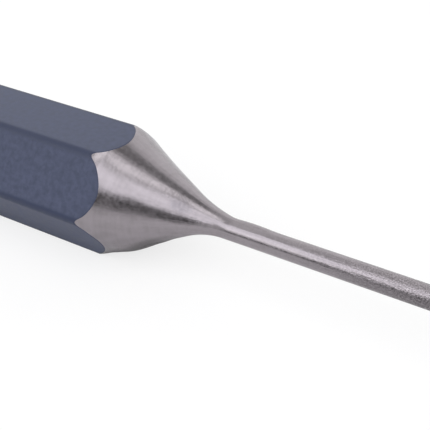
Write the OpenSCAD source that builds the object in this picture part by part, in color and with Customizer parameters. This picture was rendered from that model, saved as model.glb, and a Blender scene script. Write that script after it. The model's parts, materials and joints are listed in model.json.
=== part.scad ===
// Pin punch: a painted hexagonal bar, ground down at the front to a slim round pin.
// X runs along the tool towards the pin and Z is up. The punch lies on one of its flats, and the
// origin is on the surface under it, halfway along.

/* [Bar] */
// Length over all, from the striking face to the tip of the pin
overall_length = 150; // [120:1:200]
// Width across the flats, over the paint
across_flats = 10; // [8:0.5:14]
// Radius of the six long corners, over the paint
corner_radius = 0.8; // [0.4:0.1:1.4]
// Thickness of the paint film
paint_thickness = 0.1; // [0.05:0.01:0.25]

/* [Pin] */
// Diameter of the pin
pin_diameter = 1.8; // [1.4:0.1:3]
// Length of the parallel pin, from the end of its root curve to the tip
pin_length = 35; // [20:1:50]
// Bevel round the tip of the pin, as deep as it is wide
tip_bevel = 0.15; // [0.05:0.05:0.3]

/* [Taper] */
// Angle between the ground cone and the axis
taper_angle = 27.5; // [18:0.5:35]
// Radius of the round shoulder where the cone leaves the bar
shoulder_radius = 3; // [2:0.5:6]
// Radius of the hollow curve where the cone runs into the pin
root_radius = 9.5; // [6:0.5:14]

/* [Head] */
// Diameter of the flat striking face, inside its round edge
face_diameter = 6.2; // [5:0.1:7]
// Radius of the round edge between the striking face and the bevel
face_edge_radius = 0.8; // [0.3:0.1:1.2]
// Angle between the bevel of the head and the axis
head_angle = 30; // [20:1:45]

/* [Hidden] */
$fn = 96;

steel_colour = [0.60, 0.58, 0.60];
paint_colour = [0.33, 0.35, 0.43];

// How far a shape that trims or fills a corner reaches past the faces beside it
overrun = 0.3;
// How far a corner's curve stands past the faces it joins, so that it crosses them cleanly
graze = 0.001;

// The bar, painted and bare
bar_sides = 6;
corner_turn = 180 / bar_sides; // from the middle of a flat to a corner
flat_reach = across_flats / 2;
steel_reach = flat_reach - paint_thickness;
steel_corner_radius = corner_radius - paint_thickness;

// Grinding starts this far outside the corners of the bar, so it breaks in at an angle
grinding_rise = 0.1;
grinding_reach = corner_centre_reach(flat_reach, corner_radius) + corner_radius + grinding_rise;

// Pin and taper, measured along the axis from where the parallel pin starts. The cone runs between
// two sharp corners, which the root and the shoulder then round.
pin_radius = pin_diameter / 2;
root_corner = -root_radius * tan(taper_angle / 2);
shoulder_corner = root_corner - (grinding_reach - pin_radius) / tan(taper_angle);
shoulder_start = shoulder_corner - shoulder_radius * tan(taper_angle / 2);

// Head, measured the same way
face = pin_length - overall_length;
face_radius = face_diameter / 2;
face_turn = 90 - head_angle; // between the striking face and the bevel
face_corner_radius = face_radius + face_edge_radius * tan(face_turn / 2);
bevel_end = face + (grinding_reach - face_corner_radius) / tan(head_angle);

// Distance from the axis to the centre of a corner's curve
function corner_centre_reach(flat, radius) = (flat - radius) / cos(corner_turn);

// Point at a distance and an angle from a centre
function polar(centre, distance, angle) = centre + distance * [cos(angle), sin(angle)];

// What lies between a sharp corner and the curve that rounds it, from one angle to another
module corner_spandrel(centre, radius, from, to) {
    tip_reach = radius / cos((to - from) / 2) + overrun;
    difference() {
        polygon([
            centre,
            polar(centre, radius + overrun, from),
            polar(centre, tip_reach, (from + to) / 2),
            polar(centre, radius + overrun, to)
        ]);
        translate(centre) circle(radius + graze);
    }
}

// Cross-section of the bar: six flats, joined by round corners
module bar_section(flat, radius) {
    difference() {
        circle(flat / cos(corner_turn), $fn = bar_sides);
        for (i = [0 : bar_sides - 1]) {
            angle = i * 2 * corner_turn;
            corner_spandrel(polar([0, 0], corner_centre_reach(flat, radius), angle), radius,
                angle - corner_turn, angle + corner_turn);
        }
    }
}

// Half outline of what grinding leaves: bevelled head, room for the bar, shoulder, cone and pin
module ground_outline() {
    difference() {
        polygon([
            [0, face],
            [face_corner_radius, face],
            [grinding_reach, bevel_end],
            [grinding_reach, shoulder_corner],
            [pin_radius, root_corner],
            [pin_radius, pin_length - tip_bevel],
            [pin_radius - tip_bevel, pin_length],
            [0, pin_length]
        ]);
        corner_spandrel([face_radius, face + face_edge_radius], face_edge_radius,
            -90, face_turn - 90);
        corner_spandrel([grinding_reach - shoulder_radius, shoulder_start], shoulder_radius,
            0, taper_angle);
    }
    corner_spandrel([pin_radius + root_radius, 0], root_radius, 180, 180 + taper_angle);
}

// Lays down along X, on a flat, what stands upright with the start of its pin at the origin
module lay_down() {
    translate([overall_length / 2 - pin_length, 0, flat_reach]) rotate([90, 0, 90]) children();
}

// The steel: head, bar, taper and pin in one piece
module steel_blank() {
    color(steel_colour) lay_down() intersection() {
        translate([0, 0, face]) linear_extrude(overall_length)
            bar_section(steel_reach, steel_corner_radius);
        rotate_extrude() ground_outline();
    }
}

// The paint film round the flats, cut back by the grinding to scallops at both ends
module paint_coat() {
    color(paint_colour) lay_down() intersection() {
        translate([0, 0, face]) linear_extrude(overall_length) difference() {
            bar_section(flat_reach, corner_radius);
            bar_section(steel_reach, steel_corner_radius);
        }
        rotate_extrude() ground_outline();
    }
}

steel_blank();
paint_coat();
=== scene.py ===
# Pin punch: the looks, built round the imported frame. Sizes in the dictionaries are in millimetres
# and angles in degrees, unless a note says otherwise.
import json
from math import atan2, cos, pi, radians, sin, sqrt, tan

import bpy
from mathutils import Matrix, Vector


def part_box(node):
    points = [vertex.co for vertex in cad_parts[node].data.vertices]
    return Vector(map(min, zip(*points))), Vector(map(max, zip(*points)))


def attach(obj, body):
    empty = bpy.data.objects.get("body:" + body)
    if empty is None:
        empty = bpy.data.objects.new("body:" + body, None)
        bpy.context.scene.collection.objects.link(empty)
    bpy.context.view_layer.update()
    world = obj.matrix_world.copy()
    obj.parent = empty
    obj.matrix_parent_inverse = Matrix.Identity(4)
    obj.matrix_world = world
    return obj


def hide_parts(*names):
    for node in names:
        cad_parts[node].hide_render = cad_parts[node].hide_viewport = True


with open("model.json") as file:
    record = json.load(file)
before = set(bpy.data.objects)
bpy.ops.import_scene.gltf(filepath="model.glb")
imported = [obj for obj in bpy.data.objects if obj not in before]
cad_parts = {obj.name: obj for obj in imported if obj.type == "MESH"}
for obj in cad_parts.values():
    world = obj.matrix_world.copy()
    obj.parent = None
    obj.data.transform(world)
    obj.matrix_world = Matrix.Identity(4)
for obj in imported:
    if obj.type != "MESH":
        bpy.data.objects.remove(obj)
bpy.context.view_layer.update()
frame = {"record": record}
mm = 0.001
print("punch: frame loaded")


# What the frame says about the punch. It lies along X, with the pin towards +X.
def boxInMm(node):
    low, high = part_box(node)
    return low / mm, high / mm


mounts = {mount["name"]: mount for mount in frame["record"]["mounts"]}
steelLow, steelHigh = boxInMm("steel_blank")
paintLow, paintHigh = boxInMm("paint_coat")

sides = 6
halfSide = pi / sides  # from the middle of a flat to a corner

bar = {
    "axisHeight": (paintLow.z + paintHigh.z) / 2,
    "flatReach": (paintHigh.z - paintLow.z) / 2,
    "cornerReach": (paintHigh.y - paintLow.y) / 2,
    "filmShare": 0.35,  # the film that shows is thinner than its solid
    "face": steelLow.x,
    "tip": steelHigh.x,
    "pinRadius": mounts["driving_pin"]["dims"]["r_mm"],
    "pinLength": mounts["driving_pin"]["dims"]["length_mm"],
}
bar["film"] = bar["filmShare"] * (paintHigh.z - steelHigh.z)
bar["pinStart"] = bar["tip"] - bar["pinLength"]
bar["corner"] = (bar["flatReach"] / cos(halfSide) - bar["cornerReach"]) / (1 / cos(halfSide) - 1)

# The half outline that grinding leaves, as a radius round its own centre
grind = {
    "coneAngle": radians(27.5),
    "shoulderRadius": 3,
    "rootRadius": 9.5,
    "overCorners": 0.01,  # it starts just outside the corners of the bar
    "tipBevel": 0.15,
    "headAngle": radians(30),
    "faceRadius": 3.1,
    "faceEdge": 0.8,
    "bow": Vector((-0.04, 0.16)),  # how far the hand-fed taper stands off the axis, in Y and Z
    "sway": Vector((-0.05, -0.09)),
    "swayEase": 0.15,  # share of the taper in which the sway sets in, and dies away again
}
startReach = bar["cornerReach"] + grind["overCorners"]
bevelStart = bar["tip"] - grind["tipBevel"]
rootCorner = bar["pinStart"] - grind["rootRadius"] * tan(grind["coneAngle"] / 2)
rootStart = bar["pinStart"] - grind["rootRadius"] * sin(grind["coneAngle"])
coneStart = rootCorner - (startReach - bar["pinRadius"]) / tan(grind["coneAngle"])
shoulderStart = coneStart - grind["shoulderRadius"] * tan(grind["coneAngle"] / 2)
shoulderEnd = shoulderStart + grind["shoulderRadius"] * sin(grind["coneAngle"])
edgeDepth = grind["faceEdge"] * (1 - sin(grind["headAngle"]))


def frontRadius(x):
    if x > bevelStart:
        return bar["pinRadius"] - (x - bevelStart)
    if x > bar["pinStart"]:
        return bar["pinRadius"]
    if x > rootStart:
        rise = sqrt(grind["rootRadius"] ** 2 - (x - bar["pinStart"]) ** 2)
        return bar["pinRadius"] + grind["rootRadius"] - rise
    if x > shoulderEnd:
        return bar["pinRadius"] + (rootCorner - x) * tan(grind["coneAngle"])
    if x > shoulderStart:
        drop = sqrt(grind["shoulderRadius"] ** 2 - (x - shoulderStart) ** 2)
        return startReach - grind["shoulderRadius"] + drop
    return startReach


def headRadius(x):
    depth = x - bar["face"]
    edge = grind["faceEdge"]
    if depth < edgeDepth:
        return grind["faceRadius"] + sqrt(max(edge**2 - (edge - depth) ** 2, 0))
    edgeReach = grind["faceRadius"] + edge * cos(grind["headAngle"])
    return edgeReach + (depth - edgeDepth) * tan(grind["headAngle"])


# A share from 0 to 1, with a soft start and a soft end
def eased(share):
    share = min(max(share, 0), 1)
    return share**2 * (3 - 2 * share)


def grindCentre(x):
    share = min(max((x - shoulderEnd) / (bar["pinStart"] - shoulderEnd), 0), 1)
    bowShare = (4 * share * (1 - share)) ** 2
    swayShare = sin(2 * pi * share) * eased(min(share, 1 - share) / grind["swayEase"])
    return grind["bow"] * bowShare + grind["sway"] * swayShare


# Where the wheel bit deeper or left more than the plain profile, all round or on one side. Here
# and in the looks, a place along the tool is counted from the start of the pin, so it is below
# zero on the taper. A turn is an angle round the axis, from the top flat towards the camera's side.
handwork = (
    {"along": -10.3, "half": 1.6, "rise": -0.045},
    {"along": -11.1, "half": 1.0, "rise": -0.12, "turn": radians(135)},
    {"along": -8.6, "half": 1.9, "rise": 0.10, "turn": radians(135)},
    {"along": -5.4, "half": 1.1, "rise": -0.05, "turn": radians(135)},
    {"along": 1.2, "half": 2.6, "rise": 0.08, "turn": radians(-50)},
)
oneSide = {"half": radians(60), "fade": radians(30)}


def sideShare(turn, middle):
    fromMiddle = abs((turn - middle + pi) % (2 * pi) - pi)
    return eased((oneSide["half"] - fromMiddle) / oneSide["fade"])


def handRise(x, turn):
    rise = 0
    for spot in handwork:
        away = min(abs(x - bar["pinStart"] - spot["along"]) / spot["half"], 1)
        share = sideShare(turn, spot["turn"]) if "turn" in spot else 1
        rise += spot["rise"] * share * cos(away * pi / 2) ** 2
    return rise


def outward(turn):
    return Vector((-sin(turn), cos(turn)))


# How far the ground surface reaches from the axis
def groundReach(x, turn):
    centre = grindCentre(x)
    aside = centre.dot(outward(turn))
    radius = min(frontRadius(x), headRadius(x))
    return aside + sqrt(aside**2 - centre.length_squared + radius**2) + handRise(x, turn)


def groundLine(turn, places):
    return [(x, groundReach(x, turn)) for x in places]


# The angle from the middle of the nearest flat
def offFlat(turn):
    return abs((turn + halfSide) % (2 * halfSide) - halfSide)


# The angle from the middle of a flat to where its rounded corner starts
def flatSpan(flat, corner):
    return atan2((flat - corner) * tan(halfSide), flat)


# How far a hexagonal bar with rounded corners reaches from its axis
def barReach(turn, flat, corner):
    fromFlat = offFlat(turn)
    if fromFlat <= flatSpan(flat, corner):
        return flat / cos(fromFlat)
    centre = (flat - corner) / cos(halfSide)
    fromCorner = halfSide - fromFlat
    return centre * cos(fromCorner) + sqrt(corner**2 - (centre * sin(fromCorner)) ** 2)


def paintReach(turn):
    return barReach(turn, bar["flatReach"], bar["corner"])


def steelReach(turn):
    return barReach(turn, bar["flatReach"] - bar["film"], bar["corner"] - bar["film"])


# Where grinding breaks through the bar, on one line along it
def cutPlace(turn, reach, outside, inside, halvings=40):
    for halving in range(halvings):
        middle = (outside + inside) / 2
        if groundReach(middle, turn) > reach:
            outside = middle
        else:
            inside = middle
    return middle


def frontCut(turn, reach):
    return cutPlace(turn, reach, shoulderStart, bar["pinStart"])


def headCut(turn, reach):
    return cutPlace(turn, reach, 0, bar["face"])


def columnTurns(flatSteps, cornerSteps):
    flatHalf = flatSpan(bar["flatReach"], bar["corner"])
    cornerHalf = halfSide - flatHalf
    offsets = [-halfSide + cornerHalf * i / cornerSteps for i in range(cornerSteps)]
    offsets += [-flatHalf + 2 * flatHalf * i / flatSteps for i in range(flatSteps)]
    offsets += [flatHalf + cornerHalf * i / cornerSteps for i in range(cornerSteps)]
    return [2 * halfSide * side + offset for side in range(sides) for offset in offsets]


def spread(start, end, steps):
    return [start + (end - start) * i / steps for i in range(steps + 1)]


def atShares(start, end, shares):
    return [start + (end - start) * share for share in shares]


def addObject(name, data):
    item = bpy.data.objects.new(name, data)
    bpy.context.scene.collection.objects.link(item)
    return item


# A mesh from columns of (x, reach) points, one column for each turn. A closed column runs out
# along the outside and back along the inside.
def wrappedMesh(name, turns, columns, closed, sharpRings):
    count = len(columns[0])
    points = []
    for turn, column in zip(turns, columns):
        for x, reach in column:
            side, up = outward(turn) * reach
            points.append((x * mm, side * mm, (up + bar["axisHeight"]) * mm))
    total = len(turns)
    faces = []
    sharpEdges = set()
    for i in range(total):
        here, there = i * count, (i + 1) % total * count
        for ring in range(count if closed else count - 1):
            step = (ring + 1) % count
            faces.append((here + ring, here + step, there + step, there + ring))
        for ring in sharpRings:
            sharpEdges.add((min(here + ring, there + ring), max(here + ring, there + ring)))
    if not closed:
        for ring, x in ((0, bar["face"]), (count - 1, bar["tip"])):
            points.append((x * mm, 0, bar["axisHeight"] * mm))
            for i in range(total):
                pair = (i * count + ring, (i + 1) % total * count + ring)
                faces.append((len(points) - 1,) + (pair if ring == 0 else pair[::-1]))
    mesh = bpy.data.meshes.new(name)
    mesh.from_pydata(points, [], faces)
    mesh.shade_smooth()
    for edge in mesh.edges:
        edge.use_edge_sharp = tuple(sorted(edge.vertices)) in sharpEdges
    mesh.validate()
    return addObject(name, mesh)


def storeOnPoints(piece, name, values):
    layer = piece.data.attributes.new(name, "FLOAT", "POINT")
    layer.data.foreach_set("value", values)


turns = columnTurns(flatSteps=36, cornerSteps=7)

steelShape = {
    "faceInner": 0.2,  # radius of the smallest ring of the face
    "faceRings": 5,
    "edgeRings": 8,
    "bevelRings": 8,
    "barShares": (0, 0.004, 0.02, 0.1, 0.3, 0.5, 0.7, 0.9, 0.98, 0.996, 1),
    "pastScallops": 1.6,  # this far past the shoulder, every ring is whole
    "shoulderRings": 18,
    "coneRings": 24,
    "rootRings": 36,
    "pinRings": 60,
    "tipRings": 3,
}


def steelColumn(turn):
    reach = steelReach(turn)
    headX, frontX = headCut(turn, reach), frontCut(turn, reach)
    edgeEnd = bar["face"] + edgeDepth
    faceReaches = spread(steelShape["faceInner"], grind["faceRadius"], steelShape["faceRings"])
    column = [(bar["face"], faceReach) for faceReach in faceReaches]
    column += groundLine(turn, spread(bar["face"], edgeEnd, steelShape["edgeRings"])[1:])
    column += groundLine(turn, spread(edgeEnd, headX, steelShape["bevelRings"])[1:-1])
    barFrom = len(column)
    column += [(x, reach) for x in atShares(headX, frontX, steelShape["barShares"])]
    barTo = len(column) - 1
    wholeRing = shoulderEnd + steelShape["pastScallops"]
    stretches = (
        (frontX, wholeRing, steelShape["shoulderRings"]),
        (wholeRing, rootStart, steelShape["coneRings"]),
        (rootStart, bar["pinStart"], steelShape["rootRings"]),
        (bar["pinStart"], bevelStart, steelShape["pinRings"]),
        (bevelStart, bar["tip"], steelShape["tipRings"]),
    )
    for start, end, steps in stretches:
        column += groundLine(turn, spread(start, end, steps)[1:])
    tipRing = len(column) - 1
    return column, (barFrom, barTo, tipRing - steelShape["tipRings"], tipRing)


steelColumns, steelSharp = zip(*(steelColumn(turn) for turn in turns))
groundSteel = wrappedMesh(
    "groundSteel", turns, steelColumns, closed=False, sharpRings=steelSharp[0],
)
print("punch: steel made,", len(groundSteel.data.polygons), "faces")

coat = {
    "barShares": (
        0, 0.0015, 0.004, 0.008, 0.02, 0.1, 0.3, 0.5, 0.7, 0.9, 0.98, 0.992, 0.996, 0.9985, 1,
    ),
    "cutRings": 3,
    "sunk": 0.02,  # how far the inner skin lies inside the steel, out of sight
}


def coatColumn(turn):
    outer, inner = paintReach(turn), steelReach(turn)
    head, front = headCut(turn, outer), frontCut(turn, outer)
    headIn, frontIn = headCut(turn, inner), frontCut(turn, inner)
    column = [(x, outer) for x in atShares(head, front, coat["barShares"])]
    fromCut = [min(x - head, front - x) for x, reach in column]
    lastOuter = len(column) - 1
    column += groundLine(turn, spread(front, frontIn, coat["cutRings"])[1:-1])
    column += [(frontIn, inner), (frontIn, inner - coat["sunk"])]
    column += [(headIn, inner - coat["sunk"]), (headIn, inner)]
    firstInner = len(column) - 1
    column += groundLine(turn, spread(headIn, head, coat["cutRings"])[1:-1])
    fromCut += [0] * (len(column) - len(fromCut))
    return column, (0, lastOuter, lastOuter + coat["cutRings"], firstInner), fromCut


# How far a column lies from the sharp corner that its flat and the next would make
def fromCornerLine(turn):
    return bar["flatReach"] * (tan(halfSide) - tan(offFlat(turn)))


coatColumns, coatSharp, coatFromCut = zip(*(coatColumn(turn) for turn in turns))
slatePaint = wrappedMesh(
    "slatePaint", turns, coatColumns, closed=True, sharpRings=coatSharp[0],
)
storeOnPoints(slatePaint, "fromCut", [value for column in coatFromCut for value in column])
storeOnPoints(
    slatePaint, "fromCorner",
    [fromCornerLine(turn) for turn, column in zip(turns, coatColumns) for point in column],
)
print("punch: paint made,", len(slatePaint.data.polygons), "faces")


# Shader nodes
def place(tree, kind, sockets=None, **settings):
    node = tree.nodes.new(kind)
    for name, value in settings.items():
        setattr(node, name, value)
    for name, value in (sockets or {}).items():
        if isinstance(value, bpy.types.NodeSocket):
            tree.links.new(value, node.inputs[name])
        else:
            node.inputs[name].default_value = value
    return node


def calculate(tree, operation, first, second=0.0):
    return place(tree, "ShaderNodeMath", {0: first, 1: second}, operation=operation).outputs[0]


def added(tree, first, second):
    return calculate(tree, "ADD", first, second)


def multiplied(tree, first, second):
    return calculate(tree, "MULTIPLY", first, second)


def scaled(tree, value, factor, offset=0.0):
    sockets = {0: value, 1: factor, 2: offset}
    return place(tree, "ShaderNodeMath", sockets, operation="MULTIPLY_ADD").outputs[0]


# The sum of the masks that the weights name, each times its weight
def weighted(tree, masks, weights):
    total = 0.0
    for name, weight in weights.items():
        total = scaled(tree, masks[name], weight, total)
    return total


def ramped(tree, value, limits, first=0.0, last=1.0, kind="LINEAR"):
    sockets = {
        "Value": value,
        "From Min": limits[0],
        "From Max": limits[1],
        "To Min": first,
        "To Max": last,
    }
    return place(tree, "ShaderNodeMapRange", sockets, interpolation_type=kind).outputs[0]


def rising(tree, value, limits, top=1.0):
    return ramped(tree, value, limits, 0.0, top, "SMOOTHSTEP")


def fading(tree, value, limits, top=1.0):
    return ramped(tree, value, limits, top, 0.0, "SMOOTHSTEP")


def combined(tree, operation, *values):
    sockets = dict(enumerate(values))
    return place(tree, "ShaderNodeVectorMath", sockets, operation=operation).outputs[0]


def scaledVector(tree, vector, factor):
    sockets = {0: vector, "Scale": factor}
    return place(tree, "ShaderNodeVectorMath", sockets, operation="SCALE").outputs[0]


def lengthOf(tree, vector):
    return place(tree, "ShaderNodeVectorMath", {0: vector}, operation="LENGTH").outputs["Value"]


def inMillimetres(tree):
    return scaledVector(tree, place(tree, "ShaderNodeTexCoord").outputs["Object"], 1 / mm)


def splitPlaces(tree, places):
    return place(tree, "ShaderNodeSeparateXYZ", {0: places}).outputs


def greyOf(tree, level):
    return place(tree, "ShaderNodeCombineXYZ", {0: level, 1: level, 2: level}).outputs[0]


def mixColours(tree, share, first, second, mode="MIX"):
    sockets = {0: share, 6: first, 7: second}  # the node's factor and its two colours
    return place(tree, "ShaderNodeMix", sockets, data_type="RGBA", blend_type=mode).outputs[2]


def bumped(tree, height, distance):
    return place(tree, "ShaderNodeBump", {"Height": height, "Distance": distance}).outputs[0]


def rgb(red, green, blue):
    return (red, green, blue, 1)


def newGroup(name, inputs, outputs):
    tree = bpy.data.node_groups.new(name, "ShaderNodeTree")
    for socketName, kind, value in inputs:
        socket = tree.interface.new_socket(socketName, in_out="INPUT", socket_type=kind)
        if value is not None:
            socket.default_value = value
    for socketName, kind in outputs:
        tree.interface.new_socket(socketName, in_out="OUTPUT", socket_type=kind)
    return tree, place(tree, "NodeGroupInput").outputs, place(tree, "NodeGroupOutput").inputs


def useGroup(tree, group, **sockets):
    return place(tree, "ShaderNodeGroup", sockets, node_tree=group).outputs[0]


# Places wound round the axis: high Along gives rings, high Around gives streaks along the tool
def makeWoundPlaces():
    tree, given, result = newGroup(
        "woundPlaces",
        [("Along", "NodeSocketFloat", 1.0), ("Around", "NodeSocketFloat", 1.0)],
        [("Vector", "NodeSocketVector")],
    )
    fromAxis = combined(tree, "SUBTRACT", inMillimetres(tree), (0, 0, bar["axisHeight"]))
    across = combined(tree, "MULTIPLY", fromAxis, (0, 1, 1))
    wound = scaledVector(tree, combined(tree, "NORMALIZE", across), given["Around"])
    lengthwise = combined(tree, "MULTIPLY", fromAxis, (1, 0, 0))
    total = combined(tree, "ADD", wound, scaledVector(tree, lengthwise, given["Along"]))
    tree.links.new(total, result["Vector"])
    return tree


# Soft specks or clouds between two levels of noise
def makeCloudMask():
    tree, given, result = newGroup(
        "cloudMask",
        [
            ("Vector", "NodeSocketVector", None),
            ("Scale", "NodeSocketFloat", 1.0),
            ("Detail", "NodeSocketFloat", 2.0),
            ("Low", "NodeSocketFloat", 0.3),
            ("High", "NodeSocketFloat", 0.7),
        ],
        [("Mask", "NodeSocketFloat")],
    )
    sockets = {name: given[name] for name in ("Vector", "Scale", "Detail")}
    noise = place(tree, "ShaderNodeTexNoise", sockets).outputs[0]
    mask = ramped(tree, noise, (given["Low"], given["High"]))
    tree.links.new(mask, result["Mask"])
    return tree


woundPlaces = makeWoundPlaces()
cloudMask = makeCloudMask()


def clouds(tree, places, look, scale):
    low, high = look["levels"]
    return useGroup(
        tree, cloudMask, Vector=places, Scale=scale, Detail=look["detail"], Low=low, High=high,
    )


def woundClouds(tree, look):
    places = useGroup(tree, woundPlaces, Along=look["perMm"], Around=look["around"])
    return clouds(tree, places, look, scale=1.0)


def newMaterial(name):
    material = bpy.data.materials.new(name)
    material.use_nodes = True
    tree = material.node_tree
    tree.nodes.clear()
    return material, tree


steelLook = {
    "light": rgb(0.345, 0.316, 0.337),
    "dark": rgb(0.280, 0.255, 0.271),
    "roughness": 0.22,
    "roughnessSpread": 0.08,
    "anisotropic": 0.6,
    "bump": 0.004,
    "rings": {"perMm": 4, "around": 2.5, "detail": 1.5, "levels": (0.3, 0.7)},
    "streaks": {"perMm": 0.5, "around": 6, "detail": 2, "levels": (0.35, 0.65)},
    "grain": {"perMm": 3.5, "detail": 1, "levels": (0.3, 0.7)},
    "pits": {"perMm": 8, "detail": 1.5, "levels": (0.36, 0.64)},
    "scratches": {"detail": 1, "levels": (0.56, 0.68)},
    "scratchSlant": (0.3, 0.2, radians(40)),  # in radians
    "scratchesPerMm": (0.6, 6, 2),
    "paleness": {"streaks": 0.5, "rings": 0.35, "grain": 0.15},  # what brings out the light colour
    # Heights that the masks add to the relief, each times bump
    "groundRelief": {"rings": 0.6, "streaks": 1.0, "grain": 0.3},
    "rootRelief": {"grain": 0.7},
    "wornRelief": {"pits": 5.4, "scratches": -3.0},
    "groundFades": (-2.5, 1),  # along here the ground relief fades, to the share below
    "groundLeft": 0.45,
    "rootSetsIn": (-7, -4),  # round the root of the pin the relief is coarser
    "rootFades": (-2, 1),
    "wornSetsIn": (1, 20),  # the pin gets rougher and more scratched along here, and takes painted shade on its underside
    "grimeFrom": 0.5,  # height above the axis where the painted shade on the worn pin's underside starts to show
    "grimeTo": 0.33,
    "grime": 0.47,
    "speckle": 0.5,
}
# Slopes in the relief that the mesh doesn't have. One rises towards the top, on all but the pin.
# The other, near the pin, rises downwards from where the height is under sideShare of the radius.
slopes = {
    "up": 0.03,
    "upFades": (-2.5, 0),
    "down": 0.23,
    "downSetsIn": (-8, -3),
    "downFades": (-2.4, -0.6),
    "sideShare": 0.7,
    "sideSoft": 0.3,
}
# A dull smudge on the front of the taper with painted shade that dims the highlight there, as an
# ellipsoid round the place that it lies on. Its middle is counted from the start of the pin, on the
# axis.
smudgeAndShade = {
    "middle": Vector((-4.4, -1.3, 1.57)),
    "heading": Vector((1.9, 0.87, -0.73)),
    "halfLength": 1.4,
    "halfWidth": 0.75,
    "full": 0.1,  # share of its size out to which it is full
    "tint": rgb(0.66, 0.67, 0.69),
    "plainShare": 0.4,
    "ringShare": 0.7,
}


def steelMasks(tree, places):
    slanted = place(
        tree, "ShaderNodeMapping",
        {
            "Vector": places,
            "Rotation": steelLook["scratchSlant"],
            "Scale": steelLook["scratchesPerMm"],
        },
    ).outputs[0]
    masks = {name: woundClouds(tree, steelLook[name]) for name in ("rings", "streaks")}
    for name in ("grain", "pits"):
        masks[name] = clouds(tree, places, steelLook[name], steelLook[name]["perMm"])
    masks["scratches"] = clouds(tree, slanted, steelLook["scratches"], scale=1.0)
    return masks


def smudgeAndShadeMask(tree, places, rings):
    inSmear = place(
        tree, "ShaderNodeMapping",
        {
            "Vector": places,
            "Location": smudgeAndShade["middle"] + Vector((bar["pinStart"], 0, bar["axisHeight"])),
            "Rotation": smudgeAndShade["heading"].to_track_quat("X", "Z").to_euler(),
            "Scale": (smudgeAndShade["halfLength"], smudgeAndShade["halfWidth"], smudgeAndShade["halfWidth"]),
        },
        vector_type="TEXTURE",
    ).outputs[0]
    near = fading(tree, lengthOf(tree, inSmear), (smudgeAndShade["full"], 1.0))
    return multiplied(tree, near, scaled(tree, rings, smudgeAndShade["ringShare"], smudgeAndShade["plainShare"]))


def slopeHeight(tree, along, across, up):
    radius = lengthOf(tree, place(tree, "ShaderNodeCombineXYZ", {1: across, 2: up}).outputs[0])
    below = added(tree, scaled(tree, radius, slopes["sideShare"]), scaled(tree, up, -1.0))
    low = place(
        tree, "ShaderNodeMath", {0: below, 1: 0.0, 2: slopes["sideSoft"]}, operation="SMOOTH_MAX",
    ).outputs[0]
    upShare = fading(tree, along, slopes["upFades"], slopes["up"])
    downShare = multiplied(
        tree, rising(tree, along, slopes["downSetsIn"], slopes["down"]),
        fading(tree, along, slopes["downFades"]),
    )
    return added(tree, multiplied(tree, up, upShare), multiplied(tree, low, downShare))


def makeSteel():
    material, tree = newMaterial("groundSteel")
    places = inMillimetres(tree)
    parts = splitPlaces(tree, places)
    along = scaled(tree, parts["X"], 1.0, -bar["pinStart"])
    up = scaled(tree, parts["Z"], 1.0, -bar["axisHeight"])
    masks = steelMasks(tree, places)
    wornAndShaded = rising(tree, along, steelLook["wornSetsIn"])

    colour = mixColours(
        tree, weighted(tree, masks, steelLook["paleness"]), steelLook["dark"], steelLook["light"],
    )
    # Painted shade: below the axis the worn pin's colour darkens, together with random speckle
    lowSideShade = rising(tree, scaled(tree, up, -1.0), (-steelLook["grimeFrom"], -steelLook["grimeTo"]))
    speckle = scaled(tree, masks["pits"], -steelLook["speckle"], steelLook["speckle"] / 2)
    shadeAndSpeckle = scaled(tree, lowSideShade, steelLook["grime"], speckle)
    colour = scaledVector(tree, colour, scaled(tree, multiplied(tree, wornAndShaded, shadeAndSpeckle), -1.0, 1.0))
    # Partly a smudge, partly painted shade: a darker tint that dims the taper's highlight here
    onSmudgeAndShade = smudgeAndShadeMask(tree, places, masks["rings"])
    colour = mixColours(tree, onSmudgeAndShade, colour, smudgeAndShade["tint"], "MULTIPLY")

    onTaper = ramped(tree, along, steelLook["groundFades"], 1.0, steelLook["groundLeft"])
    atRoot = multiplied(
        tree, rising(tree, along, steelLook["rootSetsIn"]),
        fading(tree, along, steelLook["rootFades"]),
    )
    height = scaled(tree, slopeHeight(tree, along, parts["Y"], up), 1 / steelLook["bump"])
    for share, relief in ((onTaper, "groundRelief"), (atRoot, "rootRelief"), (wornAndShaded, "wornRelief")):
        ownHeight = weighted(tree, masks, steelLook[relief])
        height = added(tree, height, multiplied(tree, share, ownHeight))

    spreadOut = steelLook["roughnessSpread"]
    shader = place(
        tree, "ShaderNodeBsdfPrincipled",
        {
            "Base Color": colour,
            "Metallic": 1.0,
            "Roughness": scaled(
                tree, masks["grain"], spreadOut, steelLook["roughness"] - spreadOut / 2,
            ),
            "Anisotropic": steelLook["anisotropic"],
            "Tangent": place(tree, "ShaderNodeTangent", direction_type="RADIAL", axis="X").outputs[0],
            "Normal": bumped(tree, height, steelLook["bump"] * mm),
        },
    )
    place(tree, "ShaderNodeOutputMaterial", {"Surface": shader.outputs[0]})
    return material


paintLook = {
    "light": rgb(0.057, 0.069, 0.126),
    "dark": rgb(0.035, 0.045, 0.088),
    # painted shade along the long corners of the bar
    "corner": rgb(0.025, 0.034, 0.074),
    "cut": rgb(0.026, 0.033, 0.066),
    "roughness": 0.45,
    "roughnessSpread": 0.10,
    "shine": 0.4,
    "bump": 0.004,
    "mottle": {"perMm": 2.2, "detail": 3, "levels": (0.3, 0.7)},
    "peel": {"perMm": 1.6, "detail": 1, "levels": (0.2, 0.8)},
    "relief": {"peel": 1.0, "mottle": 0.3},
    "cutFades": (0, 0.16),  # how far from the ground edge its darker colour reaches
    "cutShare": 0.25,
    "cornerFades": (0.2, 0.65),  # the same for the painted shade along the long corners of the bar
}


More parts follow.
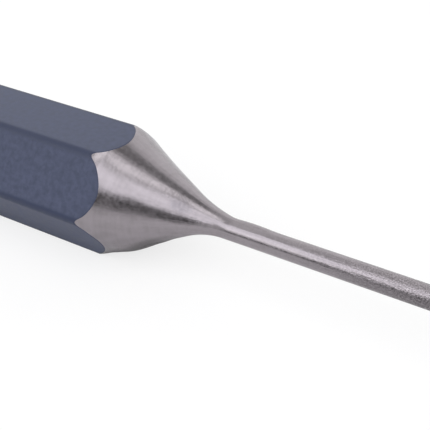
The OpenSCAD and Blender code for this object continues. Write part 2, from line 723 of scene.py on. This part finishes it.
def makePaint():
    material, tree = newMaterial("slatePaint")
    places = inMillimetres(tree)
    masks = {
        name: clouds(tree, places, paintLook[name], paintLook[name]["perMm"])
        for name in ("mottle", "peel")
    }
    fromCut, fromCorner = (
        place(tree, "ShaderNodeAttribute", attribute_name=name).outputs["Fac"]
        for name in ("fromCut", "fromCorner")
    )
    nearCut = ramped(tree, fromCut, paintLook["cutFades"], paintLook["cutShare"], 0.0)
    # Painted shade: a darker colour along the long corners of the bar
    cornerShade = fading(tree, fromCorner, paintLook["cornerFades"])
    colour = mixColours(tree, masks["mottle"], paintLook["dark"], paintLook["light"])
    colour = mixColours(tree, cornerShade, colour, paintLook["corner"])
    colour = mixColours(tree, nearCut, colour, paintLook["cut"])
    spreadOut = paintLook["roughnessSpread"]
    shader = place(
        tree, "ShaderNodeBsdfPrincipled",
        {
            "Base Color": colour,
            "Roughness": scaled(
                tree, masks["mottle"], spreadOut, paintLook["roughness"] - spreadOut / 2,
            ),
            "Specular IOR Level": paintLook["shine"],
            "Normal": bumped(
                tree, weighted(tree, masks, paintLook["relief"]), paintLook["bump"] * mm,
            ),
        },
    )
    place(tree, "ShaderNodeOutputMaterial", {"Surface": shader.outputs[0]})
    return material


for piece, makeLook, node, slotName in (
    (groundSteel, makeSteel, "steel_blank", "ground_steel"),
    (slatePaint, makePaint, "paint_coat", "slate_paint"),
):
    piece.data.materials.append(makeLook())
    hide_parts(node)
    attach(piece, "root")
print("punch: materials on")

# The bench: a plain white floor. What the camera sees of it is lifted to white, and what gloss
# sees a little.
bench = {
    "halfWidth": 3000,
    "white": 0.86,
    "sheetEnds": (22, 90),  # in front, the white sheet gives way to a darker bench over this stretch
    "farWhite": 0.3,
    "beneath": 0.5,  # painted shadow: share of its white that it loses right beneath the bar, where no light comes
    "beneathHalf": (2.2, 3.8),  # half the width of that place: where it starts to fade, and its edge
    "beneathEnds": (-8, -5),
    "shadowShare": 0.28,  # how much of the bench's own shade the camera still sees
    "glossShadowShare": 0.92,
    "lift": 0.752,
}


def liftShare(tree):
    path = place(tree, "ShaderNodeLightPath").outputs
    direct = calculate(tree, "MAXIMUM", path["Is Camera Ray"], path["Is Transmission Ray"])
    seen = scaled(tree, direct, 1 - bench["shadowShare"])
    return scaled(tree, path["Is Glossy Ray"], 1 - bench["glossShadowShare"], seen)


# How white the bench is at each place. In front of the punch, and in a painted shadow right beneath
# it, it is darker for all but the camera.
def benchLevel(tree):
    unseen = scaled(tree, place(tree, "ShaderNodeLightPath").outputs["Is Camera Ray"], -1.0, 1.0)
    parts = splitPlaces(tree, inMillimetres(tree))
    along = scaled(tree, parts["X"], 1.0, -bar["pinStart"])
    inFront = scaled(tree, parts["Y"], -1.0)
    far = multiplied(tree, unseen, rising(tree, inFront, bench["sheetEnds"]))
    # Painted shadow: the bench is darker right beneath the bar, for all but the camera
    beneath = multiplied(
        tree, fading(tree, calculate(tree, "ABSOLUTE", parts["Y"]), bench["beneathHalf"]),
        fading(tree, along, bench["beneathEnds"]),
    )
    level = scaled(tree, far, bench["farWhite"] - bench["white"], bench["white"])
    loss = bench["beneath"] * bench["white"]
    return scaled(tree, multiplied(tree, unseen, beneath), -loss, level)


def makeBench():
    material, tree = newMaterial("benchWhite")
    white = place(tree, "ShaderNodeBsdfDiffuse", {"Color": greyOf(tree, benchLevel(tree))})
    strength = bench["lift"] / (1 - bench["shadowShare"])
    lift = place(tree, "ShaderNodeEmission", {"Strength": strength})
    shaders = {0: liftShare(tree), 1: white.outputs[0], 2: lift.outputs[0]}
    both = place(tree, "ShaderNodeMixShader", shaders)
    place(tree, "ShaderNodeOutputMaterial", {"Surface": both.outputs[0]})

    half = bench["halfWidth"] * mm
    corners = [(-half, -half, 0), (half, -half, 0), (half, half, 0), (-half, half, 0)]
    mesh = bpy.data.meshes.new("bench")
    mesh.from_pydata(corners, [], [(0, 1, 2, 3)])
    mesh.materials.append(material)
    addObject("bench", mesh)


makeBench()


# A direction has azimuth 0 on the -Y side and 90 on the +X side, and elevation above the bench.
def direction(azimuth, elevation):
    turn, rise = radians(azimuth), radians(elevation)
    return Vector((sin(turn) * cos(rise), -cos(turn) * cos(rise), sin(rise)))


lampAim = Vector((30, 0, 5))
lamps = {  # power is in watts
    "backPanel": {"azimuth": 190, "elevation": 26, "distance": 900, "size": (1700, 760), "power": 1.7},
    "leftPanel": {"azimuth": -100, "elevation": 45, "distance": 900, "size": (900, 700), "power": 0.5},
    "leftCard": {"azimuth": -45, "elevation": 22, "distance": 700, "size": (730, 250), "power": 0.6},
}


def makeLamp(name, lamp):
    data = bpy.data.lights.new(name, "AREA")
    data.shape = "RECTANGLE"
    data.size, data.size_y = (side * mm for side in lamp["size"])
    data.energy = lamp["power"]
    back = direction(lamp["azimuth"], lamp["elevation"])
    light = addObject(name, data)
    light.location = (lampAim + back * lamp["distance"]) * mm
    light.rotation_euler = back.to_track_quat("Z", "Y").to_euler()
    light.visible_camera = False


for name, lamp in lamps.items():
    makeLamp(name, lamp)

# The room is pale all round, with two lit panels, and dark places where no white card stands.
# The camera sees it as white.
room = {
    "white": 0.74,
    "panels": (
        {"azimuth": 8, "halfAzimuth": 68, "elevation": 44.5, "halfElevation": 17.7, "soft": 1.5,
         "glow": (1.14, 1.15, 1.20)},
        {"azimuth": 50, "halfAzimuth": 76, "elevation": 80.5, "halfElevation": 10.8, "soft": 2.5,
         "glow": (1.25, 1.25, 1.25)},
    ),
    "darkPlaces": (
        {"azimuth": 38, "halfAzimuth": 27, "elevation": 6, "halfElevation": 21, "soft": 6,
         "depth": 0.87},
        {"azimuth": -38, "halfAzimuth": 24, "elevation": -2, "halfElevation": 14, "soft": 5,
         "depth": 0.98},
        {"azimuth": 152, "halfAzimuth": 26, "elevation": 62, "halfElevation": 14, "soft": 12,
         "depth": 0.65},
    ),
}


# A mask that is 1 in a place of the room and 0 outside it, with a soft edge
def spotMask(tree, azimuth, elevation, spot):
    aside = calculate(tree, "SUBTRACT", azimuth, radians(spot["azimuth"]))
    height = calculate(tree, "SUBTRACT", elevation, radians(spot["elevation"]))
    inner, outer = (radians(spot["halfAzimuth"] + way * spot["soft"]) for way in (-1, 1))
    sideways = rising(tree, calculate(tree, "COSINE", aside), (cos(outer), cos(inner)))
    limits = [radians(spot["halfElevation"] + way * spot["soft"]) for way in (-1, 1)]
    return multiplied(tree, sideways, fading(tree, calculate(tree, "ABSOLUTE", height), limits))


def makeRoom():
    world = bpy.data.worlds.new("room")
    bpy.context.scene.world = world
    world.use_nodes = True
    tree = world.node_tree
    tree.nodes.clear()
    towards = splitPlaces(tree, place(tree, "ShaderNodeTexCoord").outputs["Generated"])
    azimuth = calculate(tree, "ARCTAN2", towards["X"], scaled(tree, towards["Y"], -1.0))
    elevation = calculate(tree, "ARCSINE", towards["Z"])
    strength = room["white"]
    for spot in room["darkPlaces"]:
        left = scaled(tree, spotMask(tree, azimuth, elevation, spot), -spot["depth"], 1.0)
        strength = multiplied(tree, strength, left)
    light = greyOf(tree, strength)
    for panel in room["panels"]:
        onPanel = spotMask(tree, azimuth, elevation, panel)
        light = combined(tree, "MULTIPLY_ADD", onPanel, panel["glow"], light)
    path = place(tree, "ShaderNodeLightPath").outputs
    light = combined(tree, "MAXIMUM", light, path["Is Camera Ray"])
    glow = place(tree, "ShaderNodeBackground", {"Color": light})
    place(tree, "ShaderNodeOutputWorld", {"Surface": glow.outputs[0]})


makeRoom()
print("punch: bench, lamps and room made")

# The camera stands in front and to the right of the taper, and looks down at it.
shot = {
    "aim": Vector((36.015, 2.944, 3.471)),
    "azimuth": 33.704,
    "elevation": 33.729,
    "roll": -1.609,
    "distance": 80.037,
    "lens": 80.507,
    "clip": (5, 100000),
}


def makeCamera():
    data = bpy.data.cameras.new("camera")
    data.lens = shot["lens"]
    data.clip_start, data.clip_end = (distance * mm for distance in shot["clip"])
    back = direction(shot["azimuth"], shot["elevation"])
    level = direction(shot["azimuth"] + 90, 0)
    roll = radians(shot["roll"])
    right = level * cos(roll) + back.cross(level) * sin(roll)
    spot = (shot["aim"] + back * shot["distance"]) * mm
    camera = addObject("camera", data)
    turned = Matrix((right, back.cross(right), back)).transposed().to_4x4()
    camera.matrix_world = Matrix.Translation(spot) @ turned
    bpy.context.scene.camera = camera


makeCamera()
bpy.context.scene.view_settings.view_transform = "Standard"
